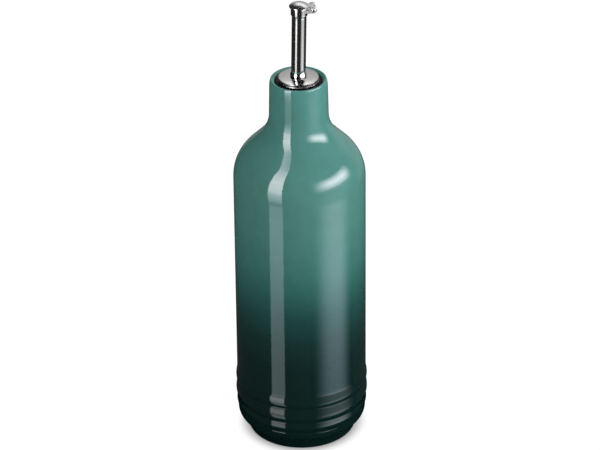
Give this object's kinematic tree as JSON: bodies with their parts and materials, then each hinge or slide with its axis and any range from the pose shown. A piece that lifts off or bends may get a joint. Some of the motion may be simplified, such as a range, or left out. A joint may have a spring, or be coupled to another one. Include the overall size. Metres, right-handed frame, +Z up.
{
  "type": "ceramic oil cruet",
  "caption": "Tall round glazed stoneware oil bottle with a ribbed belt above its foot and a steel pouring tube whose hinged flap lifts to pour.",
  "frame": {"origin": "on the floor, under the bottle's axis", "axes": "+Z up along the bottle's axis, +X towards the side the flap is hinged on, -Y towards the camera of the picture"},
  "size_m": [0.0776, 0.0776, 0.2755],
  "materials": {
    "green_glaze": "gloss glaze, teal green at the top shading to almost black green at the foot",
    "black_rubber": "matt",
    "satin_steel": "satin",
    "polished_steel": "mirror-polished stainless steel"
  },
  "bodies": {
    "cruet": {"bottle": "green_glaze", "stopper": "black_rubber", "dish": "satin_steel", "tube": "polished_steel", "hinge_pin": "polished_steel"},
    "flap": {"flap": "polished_steel"}
  },
  "joints": [
    {"name": "flap_hinge", "type": "hinge", "parent": "cruet", "child": "flap", "pos_m": [0.0085, 0.0011, 0.27173], "axis": [-0.1288, 0.9917, 0], "range_deg": [0, 78]}
  ]
}
